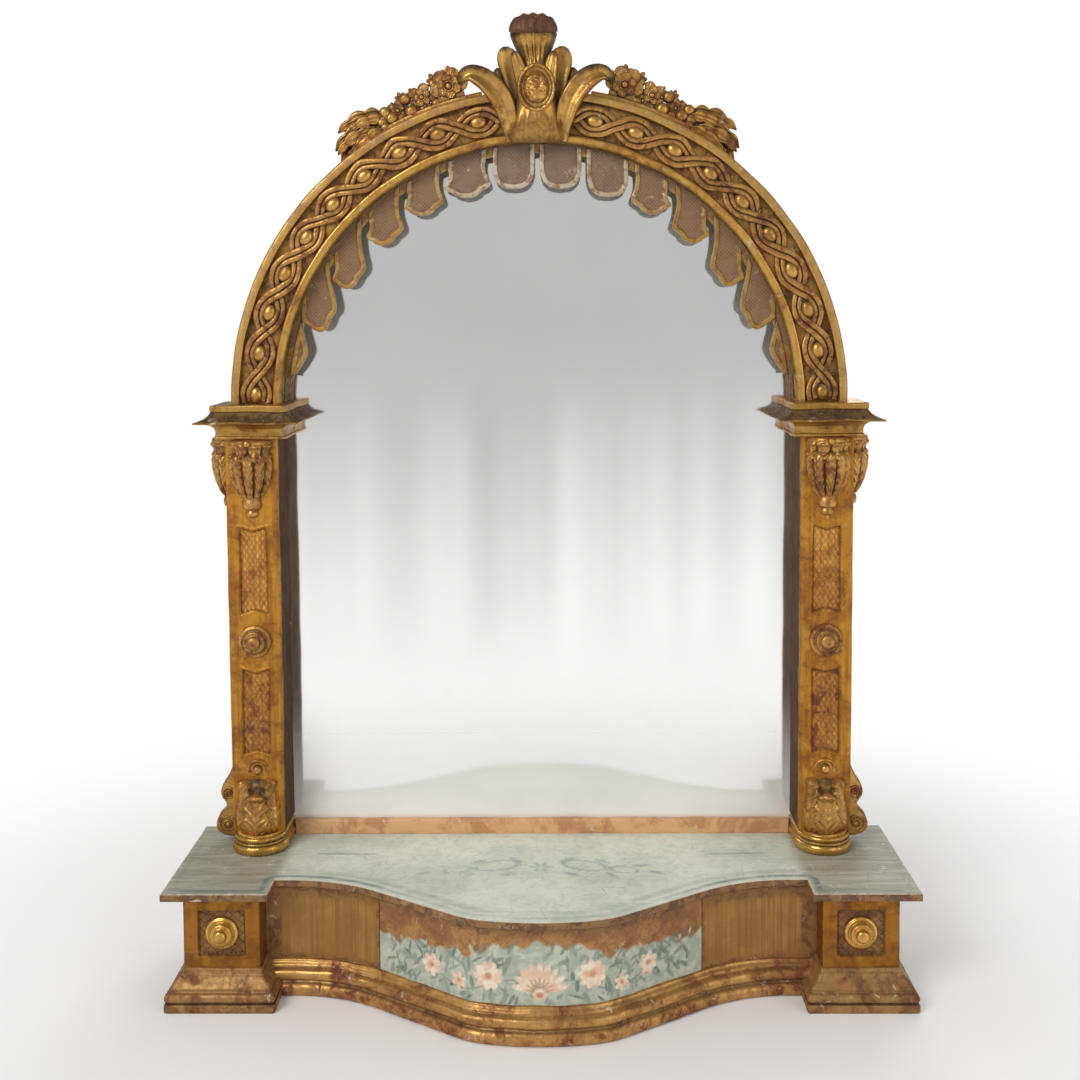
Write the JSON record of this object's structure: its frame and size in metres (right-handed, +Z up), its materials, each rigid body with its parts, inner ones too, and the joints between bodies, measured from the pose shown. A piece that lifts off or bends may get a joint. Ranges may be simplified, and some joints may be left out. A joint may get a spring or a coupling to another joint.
{
  "type": "giltwood mirror",
  "caption": "Free-standing arched gilt wood mirror on a serpentine plinth with a painted shelf, square pilasters, scalloped pelmet and carved crest",
  "frame": {"origin": "under the middle of the bounding box, on the surface that the plinth stands on", "axes": "+X to the right seen from the front, +Y to the back, +Z up; the mirror faces -Y"},
  "size_m": [0.86, 0.276, 1.142],
  "materials": {
    "flat_gilt": "worn water gilding on flat and moulded wood, brown in the hollows",
    "carved_gilt": "burnished gilding on carved wood, dark in the recesses",
    "hatched_gilt": "cross-hatched gilt ground with a rubbed border",
    "red_bole": "red clay ground showing through worn gold",
    "painted_shelf": "matt grey-green distemper with blue-green lines",
    "painted_frieze": "painted flowers on a hatched gilt ground",
    "bare_pine": "bare softwood, darkened with age",
    "mirror_silver": "old mirror glass with small flaws in the silvering",
    "iron": "plain forged brads"
  },
  "bodies": {
    "root": {"plinth_bottom_board": "bare_pine", "plinth_back_board": "bare_pine", "plinth_glue_blocks": "bare_pine", "frieze_left": "flat_gilt", "frieze_center": "painted_frieze", "frieze_right": "flat_gilt", "serpentine_base_moulding": "flat_gilt", "serpentine_bed_moulding": "flat_gilt", "left_pedestal_die": "flat_gilt", "right_pedestal_die": "flat_gilt", "left_pedestal_base": "flat_gilt", "right_pedestal_base": "flat_gilt", "left_bed_moulding": "flat_gilt", "right_bed_moulding": "flat_gilt", "left_pedestal_boss": "carved_gilt", "right_pedestal_boss": "carved_gilt", "shelf_board": "painted_shelf", "sill_rail": "red_bole", "left_pilaster": "flat_gilt", "right_pilaster": "flat_gilt", "left_pilaster_foot": "carved_gilt", "right_pilaster_foot": "carved_gilt", "left_leaf_cup": "carved_gilt", "right_leaf_cup": "carved_gilt", "left_pilaster_boss": "carved_gilt", "right_pilaster_boss": "carved_gilt", "left_husk": "carved_gilt", "right_husk": "carved_gilt", "left_side_husk": "carved_gilt", "right_side_husk": "carved_gilt", "left_side_scroll": "carved_gilt", "right_side_scroll": "carved_gilt", "left_capital": "flat_gilt", "right_capital": "flat_gilt", "left_abacus": "flat_gilt", "right_abacus": "flat_gilt", "arch_left_lower": "flat_gilt", "arch_left_upper": "flat_gilt", "arch_right_upper": "flat_gilt", "arch_right_lower": "flat_gilt", "guilloche_left": "carved_gilt", "guilloche_right": "carved_gilt", "pelmet_left": "hatched_gilt", "pelmet_right": "hatched_gilt", "mirror_plate": "mirror_silver", "backboard_left": "bare_pine", "backboard_center": "bare_pine", "backboard_right": "bare_pine", "glass_blocks": "bare_pine", "backboard_brads": "iron", "pilaster_dowels": "bare_pine", "capital_dowels": "bare_pine", "crest_dowels": "bare_pine", "crest_leaf": "carved_gilt", "crest_cap": "carved_gilt", "crest_cabochon": "carved_gilt", "left_garland": "carved_gilt", "right_garland": "carved_gilt"}
  },
  "joints": []
}
